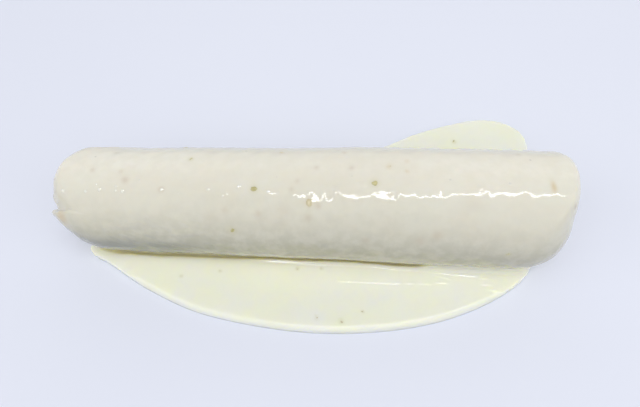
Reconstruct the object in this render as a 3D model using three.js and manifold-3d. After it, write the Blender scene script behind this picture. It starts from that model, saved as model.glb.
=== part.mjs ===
// A rolled flour-tortilla burrito under white cheese sauce, lying in the sauce that has run off it.
// Millimetres, +Z up. The roll lies along X, thicker towards +X, on the flat foot that its own
// weight gives it. The origin is the middle of that foot, and -Y is the front.
import * as THREE from "three";
import Module from "manifold-3d";
import { mergeVertices } from "three/addons/utils/BufferGeometryUtils.js";

const wasm = await Module();
wasm.setup();

// The roll
const ROLL_LENGTH = 253.5;
const ROLL_WIDTH = 53.4;
const ROLL_HEIGHT = 49.7;
const BELLY_HEIGHT = 24.3; // the level at which the roll is widest
const FOOT_SINK = 2.6; // how far the round underside is pressed flat
const TAPER = 0.052; // thicker at +X and thinner at -X by this share

// Each end's rounding: how far before the end it starts, and how far it pulls the skin in; and
// its slant, the share of a point's y that it is moved along X
const STRAIGHT_SHARE = 0.8; // of the way out to each end, up to where its rounding starts
const LEFT_END = {
  reach: { front: 26, back: 27, top: 8, bottom: 27 },
  inset: { front: 17, back: 14, top: 17.5, bottom: 13.5 },
  slant: -0.1,
};
const RIGHT_END = {
  reach: { front: 19.5, back: 16, top: 6, bottom: 21 },
  inset: { front: 13, back: 14, top: 20.5, bottom: 8.5 },
  slant: 0.24,
};
const END_DOME = 2.2; // how far each tucked-in end swells in its middle
const END_CLOSING = 2; // rings between an end's rim and its middle
const PLEATS = 7; // gathers round each end
const PLEAT_DEPTH = 0.5;

// The filling under the skin: long low waves, so many of them along the roll and round it
const LUMPS = [
  { height: 0.16, along: 1, around: 2, phase: 3.4 },
  { height: 0.11, along: 1.75, around: -3, phase: 1 },
];
const CROWN = 1.5; // and one long swell of the top, highest at CROWN_AT
const CROWN_AT = 0.2;

// The wrapping. Angles round the roll: 0 is the back, 90 the top, 180 the front, 270 the foot.
// Places along it are shares of the way out from the middle, from -1 to 1.
const TORTILLA = 1.7; // thickness of one layer
const FLAP_EDGE = 14; // where the last turn of the tortilla ends, over most of the length
const FLAP_CLIMB = 34; // how far that edge climbs towards the left end
const CLIMB_FROM = -0.42;
const CLIMB_TO = -0.82;
const TUCK_FROM = 0.86; // from here out to each end the edge is tucked under and flattens
const FLAP_CURL = 1.2; // how far its corner at the left end stands off
const CURL_FROM = -0.55;
const CURL_SPREAD = 40; // how far up from the edge it is felt
const FOLD_EDGE = 148; // where the left end's side fold lies over the turns
const FOLD_FROM = -0.76;
const FOLD_SPREAD = 46; // how far round the fold reaches
const FOLD_LIFT = 2.8; // how far the fold's corner stands out
const STEP = 1.6; // the angle over which an edge drops
const COVERED_STEP = 5; // the same under the sauce

// The sauce
const COAT = 1.3;
const GAP = 0.3; // between pieces that touch
const POOL_DEPTH = 3.2;
const POOL_EDGE = 2.6; // width of the pool's rounded edge
const POOL_LIP = 0.4; // height at which that edge turns up from the floor
const POOL_OUTLINE = [
  [-119, -20], [-104, -29], [-80, -42], [-48, -53.5], [-2, -59.5], [38, -57.5], [72, -49.5],
  [101, -35], [117, -18], [121, 12], [127, 46], [126, 72], [104, 82], [66, 71], [28, 52],
  [-18, 45], [-58, 47], [-92, 38], [-108, 16], [-111, -4],
];

// Chile flecks: [place along the roll, angle] on the coat, [x, y] on the pool
const FLECK_RADIUS = 0.95;
const FLECK_FORM = [1.35, 1, 0.55];
const COAT_FLECKS = [
  [-0.44, 75], [-0.18, 106], [-0.26, 147], [0.02, 118], [0.25, 100], [0.8, 99],
  [-0.64, 38], [-0.1, 12], [0.4, 26], [0.68, -8],
];
const POOL_FLECKS = [[-65, -36], [7, -52], [19, -54], [-6, -42], [28, -49], [84, 62], [-40, 38]];

// How finely each skin is divided: rings on half the straight stretch and on each rounding
const SKIN_MESH = { straight: 12, rounded: 5, around: 42 };
const COAT_MESH = { straight: 16, rounded: 6, around: 50 };
const POOL_STEPS = 84;

const TURN = 360;
const DEGREES = Math.PI / 180;
const clamp = (t) => Math.min(1, Math.max(0, t));
const smooth = (t) => clamp(t) ** 2 * (3 - 2 * clamp(t));
const ease = (value, from, to) => smooth((value - from) / (to - from)); // 0 at from, 1 at to
const wrap = (angle) => ((angle % TURN) + TURN) % TURN;

// A size given for front, back, top and bottom, blended for a direction round the roll
function blendRound(sizes, cos, sin) {
  const across = cos < 0 ? sizes.front : sizes.back;
  const upright = sin < 0 ? sizes.bottom : sizes.top;
  return across * cos ** 2 + upright * sin ** 2;
}

// The angle of the last turn's free edge, which climbs the back towards the left end
function flapEdge(along) {
  return FLAP_EDGE + FLAP_CLIMB * ease(along, CLIMB_FROM, CLIMB_TO) + 2 * Math.sin(4 * along);
}

// Where the side fold starts, counted from the free edge: a wide edge starts sooner
function foldStart(along, step) {
  return FOLD_EDGE - flapEdge(along) - (step - STEP);
}

// Relief of the filling under the skin, in mm
function lumps(along, angle) {
  const crown = CROWN * Math.cos(2.4 * (along - CROWN_AT)) * Math.max(0, Math.sin(angle));
  return LUMPS.reduce((sum, wave) => {
    const phase = 2 * Math.PI * wave.along * along + wave.around * angle + wave.phase;
    return sum + wave.height * Math.sin(phase);
  }, crown);
}

// What the wrapping adds to the skin, in mm, at an angle counted up from the free edge: one
// layer less below that edge, the curl of its corner, and the side fold at the left end
function wrapping(along, past, step) {
  const below = TURN - past;
  const tucked = 1 - 0.7 * ease(Math.abs(along), TUCK_FROM, 1);
  const missing = smooth(below / step) * clamp(1 - below / 180) * tucked;
  const corner = ease(along, CURL_FROM, CLIMB_TO) * ease(along, -1, CLIMB_TO);
  const curl = corner * clamp(1 - past / CURL_SPREAD) ** 2;
  const onFold = past - foldStart(along, step);
  const fold = smooth(onFold / step) * clamp(1 - onFold / FOLD_SPREAD) * ease(along, FOLD_FROM, -1);
  return FLAP_CURL * curl + FOLD_LIFT * fold - TORTILLA * missing;
}

// A point of the skin grown by outset. along runs from -1 to 1, end to end, and past is the
// angle up and round from the free edge.
function skinPoint(along, past, outset, step) {
  const angle = (flapEdge(along) + past) * DEGREES;
  const cos = Math.cos(angle);
  const sin = Math.sin(angle);
  const end = along < 0 ? LEFT_END : RIGHT_END;
  const reach = blendRound(end.reach, cos, sin) + outset;
  const inset = blendRound(end.inset, cos, sin) + outset;
  const outward = Math.abs(along);
  const turn = clamp((outward - STRAIGHT_SHARE) / (1 - STRAIGHT_SHARE)) * 90 * DEGREES;
  const straight = Math.min(1, outward / STRAIGHT_SHARE) * (ROLL_LENGTH / 2 + outset - reach);
  const relief = lumps(along, angle) + wrapping(along, past, step);
  const pleats = PLEAT_DEPTH * Math.sin(turn) ** 2 * Math.cos(PLEATS * angle);
  const grown = outset - inset * (1 - Math.cos(turn)) + relief * Math.cos(turn) + pleats;
  const thick = 1 + TAPER * along;
  const rise = sin < 0 ? BELLY_HEIGHT + FOOT_SINK : ROLL_HEIGHT - BELLY_HEIGHT;
  const y = ((ROLL_WIDTH / 2) * thick + grown) * cos;
  const z = BELLY_HEIGHT * thick + (rise * thick + grown) * sin;
  const x = Math.sign(along) * (straight + (reach + relief) * Math.sin(turn));
  return new THREE.Vector3(x + end.slant * y * outward ** 2, y, z);
}

// The angles of one ring's points: its seam lies on the free edge, and one more pair of rows
// on the side fold, so that both edges are sharp.
function ringAngles(along, around, step) {
  const toFold = foldStart(along, step);
  const upper = Math.round((around * toFold) / TURN);
  const lower = around - upper - 2;
  const rest = TURN - toFold - 2 * step;
  const angles = [];
  for (let j = 0; j <= upper; j += 1) {
    angles.push((toFold * j) / upper);
  }
  for (let j = 0; j <= lower; j += 1) {
    angles.push(toFold + step + (rest * j) / lower);
  }
  return angles;
}

// How far out each ring lies: evenly on the straight stretch, closer on the rounded ends
function ringStations(straight, rounded) {
  const stations = [];
  for (let i = -straight; i <= straight; i += 1) {
    stations.push((STRAIGHT_SHARE * i) / straight);
  }
  for (let i = 1; i <= rounded; i += 1) {
    const out = STRAIGHT_SHARE + ((1 - STRAIGHT_SHARE) * i) / rounded;
    stations.push(out);
    stations.unshift(-out);
  }
  return stations;
}

// The rings that close an end, drawn in to its middle and swelling towards it
function endRings(rim, side) {
  const middle = new THREE.Vector3();
  rim.forEach((point) => middle.addScaledVector(point, 1 / rim.length));
  const rings = [];
  for (let i = 1; i <= END_CLOSING; i += 1) {
    const share = 1 - i / (END_CLOSING + 1);
    const dome = side * END_DOME * (1 - share ** 2) ** 2;
    rings.push(rim.map((point) => {
      const drawn = middle.clone().lerp(point, share);
      drawn.x += dome;
      return drawn;
    }));
  }
  middle.x += side * END_DOME;
  return { rings, middle };
}

// A closed mesh from rings of equal counts, each running back to top to front, and end points
function loft(rings, first, last) {
  const around = rings[0].length;
  const points = [first, ...rings.flat(), last];
  const index = [];
  const at = (ring, j) => 1 + ring * around + (j % around);
  for (let j = 0; j < around; j += 1) {
    index.push(0, at(0, j + 1), at(0, j));
    index.push(points.length - 1, at(rings.length - 1, j), at(rings.length - 1, j + 1));
    for (let i = 0; i + 1 < rings.length; i += 1) {
      index.push(at(i, j), at(i, j + 1), at(i + 1, j + 1));
      index.push(at(i, j), at(i + 1, j + 1), at(i + 1, j));
    }
  }
  const geometry = new THREE.BufferGeometry().setFromPoints(points);
  geometry.setIndex(index);
  return geometry;
}

// The whole skin, grown by outset; flattened at the floor where floor is true
function rollSkin({ outset, step, straight, rounded, around, floor }) {
  const rings = ringStations(straight, rounded).map((along) =>
    ringAngles(along, around, step).map((past) => skinPoint(along, past, outset, step)));
  const left = endRings(rings[0], -1);
  const right = endRings(rings[rings.length - 1], 1);
  const all = [...left.rings.reverse(), ...rings, ...right.rings];
  if (floor) {
    all.flat().forEach((point) => point.setZ(Math.max(0, point.z)));
  }
  return loft(all, left.middle, right.middle);
}

function toSolid(geometry) {
  const bare = new THREE.BufferGeometry();
  bare.setAttribute("position", geometry.getAttribute("position"));
  bare.setIndex(geometry.getIndex());
  const merged = mergeVertices(bare, 1e-4);
  const vertProperties = new Float32Array(merged.getAttribute("position").array);
  const triVerts = new Uint32Array(merged.getIndex().array);
  return new wasm.Manifold(new wasm.Mesh({ numProp: 3, vertProperties, triVerts }));
}

function toGeometry(solid) {
  const mesh = solid.getMesh();
  const geometry = new THREE.BufferGeometry();
  geometry.setAttribute("position", new THREE.BufferAttribute(mesh.vertProperties, 3));
  geometry.setIndex(new THREE.BufferAttribute(mesh.triVerts, 1));
  geometry.computeVertexNormals();
  return geometry;
}

// A block larger than the burrito, which takes away everything below a height
function below(height) {
  const side = 1.5 * ROLL_LENGTH;
  const block = new THREE.BoxGeometry(side, side, side);
  block.translate(0, 0, height - side / 2);
  return toSolid(block);
}

// One fleck of chile, half sunk in the sauce at a point, its flat side along the surface
function fleck(point, normal, turned) {
  const chip = new THREE.IcosahedronGeometry(FLECK_RADIUS, 0);
  chip.scale(...FLECK_FORM);
  chip.rotateZ(turned);
  const up = new THREE.Vector3(0, 0, 1);
  chip.applyQuaternion(new THREE.Quaternion().setFromUnitVectors(up, normal));
  chip.translate(point.x, point.y, point.z);
  return toSolid(chip);
}

function coatFleck([along, angle], turned) {
  const past = wrap(angle - flapEdge(along));
  const outer = skinPoint(along, past, GAP + COAT, COVERED_STEP);
  const inner = skinPoint(along, past, GAP, COVERED_STEP);
  return fleck(outer, outer.clone().sub(inner).normalize(), turned);
}

// The slab of sauce round the foot: a smooth outline, its edge rounded down to the floor
function poolSlab() {
  const corners = POOL_OUTLINE.map(([x, y]) => new THREE.Vector3(x, y, 0));
  const outline = new THREE.CatmullRomCurve3(corners, true).getPoints(POOL_STEPS).slice(1);
  const shape = new THREE.Shape(outline.map((point) => new THREE.Vector2(point.x, point.y)));
  const slab = new THREE.ExtrudeGeometry(shape, {
    depth: 2 * POOL_LIP,
    bevelThickness: POOL_DEPTH - POOL_LIP,
    bevelSize: POOL_EDGE,
    bevelOffset: -POOL_EDGE,
    bevelSegments: 4,
  });
  slab.translate(0, 0, -POOL_LIP);
  return toSolid(slab).subtract(below(0));
}

function poolFleck([x, y], turned) {
  return fleck(new THREE.Vector3(x, y, POOL_DEPTH), new THREE.Vector3(0, 0, 1), turned);
}

const withFlecks = (solid, flecks) => flecks.reduce((whole, chip) => whole.add(chip), solid);
const turnedBy = (i) => 2.4 * i; // each fleck lies its own way

const roll = rollSkin({ ...SKIN_MESH, outset: 0, step: STEP, floor: true });
const rollSpace = toSolid(rollSkin({ ...SKIN_MESH, outset: GAP, step: STEP }));
const covered = toSolid(rollSkin({ ...COAT_MESH, outset: GAP + COAT, step: COVERED_STEP }));
const coatFlecks = COAT_FLECKS.map((place, i) => coatFleck(place, turnedBy(i)));
const coat = withFlecks(covered, coatFlecks).subtract(rollSpace).subtract(below(POOL_DEPTH + GAP));
const poolFlecks = POOL_FLECKS.map((place, i) => poolFleck(place, turnedBy(i)));
const pool = withFlecks(poolSlab(), poolFlecks).subtract(rollSpace);

const tortilla = new THREE.MeshStandardMaterial({ color: 0xe9dcc0, roughness: 0.75, metalness: 0 });
const cheeseSauce = new THREE.MeshStandardMaterial({ color: 0xe4e0d0, roughness: 0.3, metalness: 0 });
const pooledSauce = new THREE.MeshStandardMaterial({ color: 0xe8e8d3, roughness: 0.2, metalness: 0 });

function named(name, geometry, material) {
  const mesh = new THREE.Mesh(geometry, material);
  mesh.name = name;
  return mesh;
}

const burrito = new THREE.Group();
burrito.add(named("tortilla_roll", roll, tortilla));
burrito.add(named("sauce_coat", toGeometry(coat), cheeseSauce));
burrito.add(named("sauce_pool", toGeometry(pool), pooledSauce));

export default burrito;
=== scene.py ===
"""A long rolled burrito under white cheese sauce, lying in the sauce that has run off it.

Sizes are millimetres until a mesh is made. +X runs along the roll to its thicker end, -Y is the
front and +Z is up. Angles round the roll count from the back over the top: 0 is the back, 90 the
top, 180 the front and 270 the foot. Places along it run from -1 at the left end to 1.
"""
import math

import bmesh
import bpy
import numpy as np
from mathutils import Matrix, Vector
from mathutils.bvhtree import BVHTree


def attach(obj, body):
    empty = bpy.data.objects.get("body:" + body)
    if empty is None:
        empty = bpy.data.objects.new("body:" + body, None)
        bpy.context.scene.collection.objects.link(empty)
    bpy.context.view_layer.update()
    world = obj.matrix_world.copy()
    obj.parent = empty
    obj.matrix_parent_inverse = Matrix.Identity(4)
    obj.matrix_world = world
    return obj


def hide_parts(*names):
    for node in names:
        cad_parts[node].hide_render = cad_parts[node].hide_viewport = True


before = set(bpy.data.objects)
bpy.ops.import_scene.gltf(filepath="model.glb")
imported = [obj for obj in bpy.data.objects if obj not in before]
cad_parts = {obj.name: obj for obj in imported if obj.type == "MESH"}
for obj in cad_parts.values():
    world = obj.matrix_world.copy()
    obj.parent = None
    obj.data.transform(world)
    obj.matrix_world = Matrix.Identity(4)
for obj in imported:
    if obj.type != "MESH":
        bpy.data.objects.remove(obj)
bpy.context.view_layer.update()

MM = 0.001
BODY = "root"

# --- The roll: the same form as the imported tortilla_roll --------------------------------------
ROLL_LENGTH = 253.5
ROLL_WIDTH = 53.4
ROLL_HEIGHT = 49.7
BELLY_HEIGHT = 24.3
FOOT_SINK = 2.6
TAPER = 0.052
STRAIGHT_SHARE = 0.8
LEFT_REACH = {"front": 26, "back": 27, "top": 8, "bottom": 27}
LEFT_INSET = {"front": 17, "back": 14, "top": 17.5, "bottom": 13.5}
RIGHT_REACH = {"front": 19.5, "back": 16, "top": 6, "bottom": 21}
RIGHT_INSET = {"front": 13, "back": 14, "top": 20.5, "bottom": 8.5}
LEFT_SLANT = -0.1
RIGHT_SLANT = 0.24
END_DOME = 2.2
PLEATS = 7
PLEAT_DEPTH = 0.5
LUMPS = [(0.16, 1, 2, 3.4), (0.11, 1.75, -3, 1)]  # height, waves along, waves round, phase
CROWN = 1.5
CROWN_AT = 0.2

# --- The wrapping -------------------------------------------------------------------------------
TORTILLA = 1.7
FLAP_EDGE = 14
FLAP_CLIMB = 34
CLIMB_FROM = -0.42
CLIMB_TO = -0.82
TUCK_FROM = 0.86
FLAP_SWAY = 2  # degrees by which the free edge wanders
FLAP_SWAYS = 4  # and how fast it does, in radians for each half length
FLAP_CURL = 1.2
CURL_FROM = -0.55
CURL_SPREAD = 40
# The side fold's edge: place along and angle round; it runs over the end nearly level
FOLD_EDGE = [
    (-1, 184), (-0.99, 182), (-0.98, 177), (-0.96, 158.5), (-0.95, 151.5), (-0.94, 148),
    (-0.88, 141), (-0.83, 137.3), (-0.77, 141), (-0.6, 130), (1, 130),
]
FOLD_TIP = 0.4  # how much further the corner of the fold stands off
FOLD_TIP_SPREAD = 8
FOLD_TIP_FROM = -0.86
TIP_AT = (-126.0, -15.6, 30.6)
TIP_DRAWN = (-0.5, 0.3, 0.2)  # how the sauce draws that corner out to a point
TIP_SPREAD = 1.6
FOLD_FROM = -0.76
FOLD_SPREAD = 46
FOLD_LIFT = 2.8
STEP = 1.6
COVERED_STEP = 3.6
FOLD_NOTCH = 0.1  # depth of the notch over the fold's corner
NOTCH_SPREAD = 4
NOTCH_OVER = 3.2  # degrees by which it lies over the fold's edge
NOTCH_FROM = -0.88
TUCK_STEP = 1.4  # height of the folded-in side where it crosses each end's face
TUCK_SOFT = 2.2  # how wide that step is under the sauce
TUCK_WAY = (0.8, 0.6)  # the way across its edge, in y and z
TUCK_BOW = 0.02  # how much that edge bows
TUCK_OFF = 3  # and how far it passes under the middle
TUCK_FADE = 2.2

# --- The sauce ----------------------------------------------------------------------------------
COAT = 1.3
GAP = 0.3
HEM = 3.5  # height at which the coat ends, over the pool
HEM_LIP = 2.2  # the coat thins down to its hem over this height
POOL_DEPTH = 3.2
POOL_OUTLINE = [
    (-119, -20), (-104, -29), (-80, -42), (-48, -53.5), (-2, -59.5), (38, -57.5), (72, -49.5),
    (101, -35), (117, -18), (121, 12), (127, 46), (126, 72), (104, 82), (66, 71), (28, 52),
    (-18, 45), (-58, 47), (-92, 38), (-108, 16), (-111, -4),
]
POOL_SWELL = 1.1  # the pool is deeper towards the roll by this much
SWELL_REACH = 12
POOL_CLIMB = 0.9  # and it climbs this much more close to the roll
CLIMB_REACH = 4.5
RIM_CEILING = 8.4  # height of the belly above the pool's rim beside the roll
RIM_HEIGHT = 0.35
RIM_WIDTH = 1.5
CREASE_DEPTH = 1.6  # of the crease between that rim and the coat
CREASE_WIDTH = 1.1
# At the right of the front the sauce leans on the roll: distance from the crest, height
LEANING = [(-1, 1.5), (0, 0.75), (0.5, 0.45), (1.0, 0.2), (1.4, 0.05), (1.7, 0)]
LEANING_FOOT = (0.9, 0.4)  # how much further its foot runs down, and its slope
LOWER_AT_LEFT = (-15, -50)  # the pool keeps lower there, and its rim stands further off
FURTHER_OFF = 0.5
LEANS_FROM = (55, 64)
LEANS_TO = (121, 114)

TURN = 360
CROWDING = 0.5  # rows of the skin lie this much closer where the coat catches the light
CROWDED_AT = 0.87  # of the way from the free edge to the side fold
FOLD_ROWS = 5  # rows across the step of the side fold
FOLD_AT_ROW = 0.32  # share of the rows above it


def smooth(t):
    t = np.clip(t, 0, 1)
    return t * t * (3 - 2 * t)


def ease(value, start, stop):
    """0 at start and 1 at stop, with a soft run between them."""
    return smooth((value - start) / (stop - start))


def blend_round(left, right, along, cos, sin):
    """A size given for front, back, top and bottom of each end, in a direction round the roll."""
    size = {side: np.where(along < 0, left[side], right[side]) for side in left}
    across = np.where(cos < 0, size["front"], size["back"])
    upright = np.where(sin < 0, size["bottom"], size["top"])
    return across * cos**2 + upright * sin**2


def flap_edge(along):
    climb = FLAP_CLIMB * ease(along, CLIMB_FROM, CLIMB_TO)
    return FLAP_EDGE + climb + FLAP_SWAY * np.sin(FLAP_SWAYS * along)


def fold_start(along, step):
    edge = np.interp(along, *zip(*FOLD_EDGE))
    return edge - flap_edge(along) - (step - STEP)


def lumps(along, angle):
    relief = CROWN * np.cos(2.4 * (along - CROWN_AT)) * np.maximum(0, np.sin(angle))
    for height, waves_along, waves_round, phase in LUMPS:
        relief = relief + height * np.sin(2 * np.pi * waves_along * along + waves_round * angle + phase)
    return relief


def wrapping(along, past, step):
    """The relief of the tortilla's free edge, of its curled corner and of the left side fold."""
    below = TURN - past
    tucked = 1 - 0.7 * ease(np.abs(along), TUCK_FROM, 1)
    missing = smooth(below / step) * np.clip(1 - below / 180, 0, 1) * tucked
    corner = ease(along, CURL_FROM, CLIMB_TO) * ease(along, -1, CLIMB_TO)
    curl = corner * np.clip(1 - past / CURL_SPREAD, 0, 1) ** 2
    on_fold = past - fold_start(along, step)
    fold = smooth(on_fold / step) * np.clip(1 - on_fold / FOLD_SPREAD, 0, 1)
    tip = FOLD_TIP * smooth(on_fold / step) * np.exp(-((on_fold / FOLD_TIP_SPREAD) ** 2))
    fold = fold * ease(along, FOLD_FROM, -1) + tip * ease(along, FOLD_TIP_FROM, -1)
    notch = np.exp(-(((on_fold + NOTCH_OVER) / NOTCH_SPREAD) ** 2)) * ease(along, NOTCH_FROM, -1)
    return FLAP_CURL * curl + FOLD_LIFT * fold - TORTILLA * missing - FOLD_NOTCH * notch


def skin(along, past, outset, step):
    """Points of the roll's skin grown by outset; past is the angle round from the free edge."""
    angle = np.radians(flap_edge(along) + past)
    cos, sin = np.cos(angle), np.sin(angle)
    reach = blend_round(LEFT_REACH, RIGHT_REACH, along, cos, sin) + outset
    inset = blend_round(LEFT_INSET, RIGHT_INSET, along, cos, sin) + outset
    outward = np.abs(along)
    turn = np.radians(90 * np.clip((outward - STRAIGHT_SHARE) / (1 - STRAIGHT_SHARE), 0, 1))
    straight = np.minimum(1, outward / STRAIGHT_SHARE) * (ROLL_LENGTH / 2 + outset - reach)
    relief = lumps(along, angle) + wrapping(along, past, step)
    pleats = PLEAT_DEPTH * np.sin(turn) ** 2 * np.cos(PLEATS * angle)
    grown = outset - inset * (1 - np.cos(turn)) + relief * np.cos(turn) + pleats
    thick = 1 + TAPER * along
    rise = np.where(sin < 0, BELLY_HEIGHT + FOOT_SINK, ROLL_HEIGHT - BELLY_HEIGHT)
    y = (ROLL_WIDTH / 2 * thick + grown) * cos
    z = BELLY_HEIGHT * thick + (rise * thick + grown) * sin
    x = np.sign(along) * (straight + (reach + relief) * np.sin(turn))
    x = x + np.where(along < 0, LEFT_SLANT, RIGHT_SLANT) * y * outward**2
    return np.stack([x, y, z], -1)


def draw_out_tip(points):
    near = np.exp(-(((points - np.array(TIP_AT)) ** 2).sum(1) / TIP_SPREAD**2))
    return points + near[:, None] * np.array(TIP_DRAWN)


def ring_angles(along, around, step):
    """One ring's angles past the free edge: rows on both sides of the side fold, more in front."""
    to_fold = fold_start(along, step)
    upper = int(round(around * FOLD_AT_ROW))
    lower = around - upper - 2 - FOLD_ROWS
    even = np.linspace(0, 1, upper + 1)
    wave = np.sin(2 * np.pi * (even - CROWDED_AT)) + math.sin(2 * np.pi * CROWDED_AT)
    first = to_fold * (even - CROWDING * wave / (2 * np.pi))
    over = to_fold + step * np.arange(1, FOLD_ROWS + 1) / (FOLD_ROWS + 1)
    return np.concatenate([first, over, np.linspace(to_fold + step, TURN - step, lower + 1)])


def end_face(rim, side, closing):
    """Rings that close an end: they draw in to its middle, swell, and carry the folded-in side."""
    middle = rim.mean(0)
    rings = []
    for i in range(1, closing + 1):
        share = 1 - i / (closing + 1)
        ring = middle + (rim - middle) * share
        y, z = (ring - middle).T[1:]
        off_fold = y * TUCK_WAY[0] + z * TUCK_WAY[1] + TUCK_BOW * z**2 + TUCK_OFF
        tuck = TUCK_STEP * (smooth(0.5 + off_fold / TUCK_SOFT) - 0.5) * smooth(TUCK_FADE * (1 - share))
        ring[:, 0] += side * (END_DOME * (1 - share**2) ** 2 + tuck)
        rings.append(ring)
    return rings, middle + (side * END_DOME, 0, 0)


def roll_skin(outset, step, straight, rounded, closing, around):
    """The whole closed skin as points and faces, with its faces outwards."""
    stations = np.linspace(-STRAIGHT_SHARE, STRAIGHT_SHARE, 2 * straight + 1)
    out = STRAIGHT_SHARE + (1 - STRAIGHT_SHARE) * np.arange(1, rounded + 1) / rounded
    stations = np.concatenate([-out[::-1], stations, out])
    past = np.stack([ring_angles(along, around, step) for along in stations])
    rings = list(skin(stations[:, None], past, outset, step))
    left, left_middle = end_face(rings[0], -1, closing)
    right, right_middle = end_face(rings[-1], 1, closing)
    rings = left[::-1] + rings + right
    points = np.concatenate([np.concatenate(rings), [left_middle, right_middle]])
    i, j = np.meshgrid(np.arange(len(rings) - 1), np.arange(around), indexing="ij")
    k = (j + 1) % around
    quads = np.stack([i * around + j, i * around + k, (i + 1) * around + k, (i + 1) * around + j], -1)
    faces = quads.reshape(-1, 4).tolist()
    last = (len(rings) - 1) * around
    for j in range(around):
        k = (j + 1) % around
        faces.append((len(points) - 2, k, j))
        faces.append((len(points) - 1, last + j, last + k))
    return points, faces


def waves(points, size, seed, count=14):
    """A smooth uneven field of about -1 to 1 over points, with swells about size across."""
    draw = np.random.default_rng(seed)
    turns = draw.normal(size=(count, 3))
    turns = turns / np.linalg.norm(turns, axis=1)[:, None] * draw.uniform(0.6, 1.4, (count, 1))
    phases = draw.uniform(0, 2 * np.pi, count)
    field = np.sin(points @ turns.T * (2 * np.pi / size) + phases).sum(1)
    return field / math.sqrt(count)


# --- Making objects -----------------------------------------------------------------------------
def make_object(name, points, faces, material):
    mesh = bpy.data.meshes.new(name)
    mesh.from_pydata((np.asarray(points) * MM).tolist(), [], faces)
    mesh.polygons.foreach_set("use_smooth", [True] * len(mesh.polygons))
    mesh.materials.append(material)
    mesh.update()
    made = bpy.data.objects.new(name, mesh)
    bpy.context.scene.collection.objects.link(made)
    return made


def set_values(mesh, name, values):
    attribute = mesh.attributes.new(name, "FLOAT", "POINT")
    attribute.data.foreach_set("value", np.asarray(values, np.float32))


def points_of(mesh):
    flat = np.empty(3 * len(mesh.vertices))
    mesh.vertices.foreach_get("co", flat)
    return flat.reshape(-1, 3) / MM


# --- Node trees ---------------------------------------------------------------------------------
def add_node(tree, kind, settings=None, inputs=None):
    node = tree.nodes.new(kind)
    for name, value in (settings or {}).items():
        setattr(node, name, value)
    for name, value in (inputs or {}).items():
        socket = node.inputs[name]
        if isinstance(value, bpy.types.NodeSocket):
            tree.links.new(value, socket)
        else:
            socket.default_value = value
    return node


def new_group(kind, name, inputs, outputs):
    """A node group with named inputs (name, socket type, default) and outputs (name, type)."""
    tree = bpy.data.node_groups.new(name, kind)
    for label, socket_type, default in inputs:
        socket = tree.interface.new_socket(label, in_out="INPUT", socket_type=socket_type)
        if default is not None:
            socket.default_value = default
    for label, socket_type in outputs:
        tree.interface.new_socket(label, in_out="OUTPUT", socket_type=socket_type)
    return tree, tree.nodes.new("NodeGroupInput").outputs, tree.nodes.new("NodeGroupOutput").inputs


def keep_result(target):
    """Puts the plain result of an object's modifiers in place of its mesh."""
    graph = bpy.context.evaluated_depsgraph_get()
    mesh = bpy.data.meshes.new_from_object(target.evaluated_get(graph), depsgraph=graph)
    target.modifiers.clear()
    old = target.data
    target.data = mesh
    bpy.data.meshes.remove(old)
    mesh.name = target.name
    mesh.polygons.foreach_set("use_smooth", [True] * len(mesh.polygons))
    return target


def apply_tree(target, tree, values):
    """Runs a geometry tree on an object with its named inputs set, and keeps the plain mesh."""
    modifier = target.modifiers.new(tree.name, "NODES")
    modifier.node_group = tree
    for item in tree.interface.items_tree:
        if item.item_type == "SOCKET" and item.in_out == "INPUT" and item.name in values:
            modifier[item.identifier] = values[item.name]
    return keep_result(target)


def ripple_tree():
    """Pushes the free face of a sauce in and out along its normals: long swells and fine ripples."""
    tree, given, out = new_group("GeometryNodeTree", "sauce_ripples", [
        ("Geometry", "NodeSocketGeometry", None),
        ("Swell Height", "NodeSocketFloat", 0.0001),
        ("Swell Size", "NodeSocketFloat", 0.02),
        ("Ripple Height", "NodeSocketFloat", 0.0001),
        ("Ripple Size", "NodeSocketFloat", 0.01),
        ("Seed", "NodeSocketFloat", 0.0),
        ("Material", "NodeSocketMaterial", None),
    ], [("Geometry", "NodeSocketGeometry")])

    def layer(height, size):
        density = add_node(tree, "ShaderNodeMath", {"operation": "DIVIDE"}, {0: 1.0, 1: given[size]})
        noise = add_node(tree, "ShaderNodeTexNoise", {"noise_dimensions": "4D"}, {
            "W": given["Seed"], "Scale": density.outputs[0], "Detail": 1.0, "Roughness": 0.4})
        centred = add_node(tree, "ShaderNodeMath", {"operation": "SUBTRACT"}, {
            0: noise.outputs["Fac"], 1: 0.5})
        return add_node(tree, "ShaderNodeMath", {"operation": "MULTIPLY"}, {
            0: centred.outputs[0], 1: given[height]}).outputs[0]

    both = add_node(tree, "ShaderNodeMath", {"operation": "ADD"}, {
        0: layer("Swell Height", "Swell Size"), 1: layer("Ripple Height", "Ripple Size")})
    free = add_node(tree, "GeometryNodeInputNamedAttribute", {"data_type": "FLOAT"}, {"Name": "free"})
    amount = add_node(tree, "ShaderNodeMath", {"operation": "MULTIPLY"}, {
        0: both.outputs[0], 1: free.outputs["Attribute"]})
    normal = add_node(tree, "GeometryNodeInputNormal")
    offset = add_node(tree, "ShaderNodeVectorMath", {"operation": "SCALE"}, {
        0: normal.outputs[0], "Scale": amount.outputs[0]})
    moved = add_node(tree, "GeometryNodeSetPosition", None, {
        "Geometry": given["Geometry"], "Offset": offset.outputs[0]})
    real = add_node(tree, "GeometryNodeRealizeInstances", None, {"Geometry": moved.outputs[0]})
    painted = add_node(tree, "GeometryNodeSetMaterial", None, {
        "Geometry": real.outputs[0], "Material": given["Material"]})
    tree.links.new(painted.outputs[0], out["Geometry"])
    return tree


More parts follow.
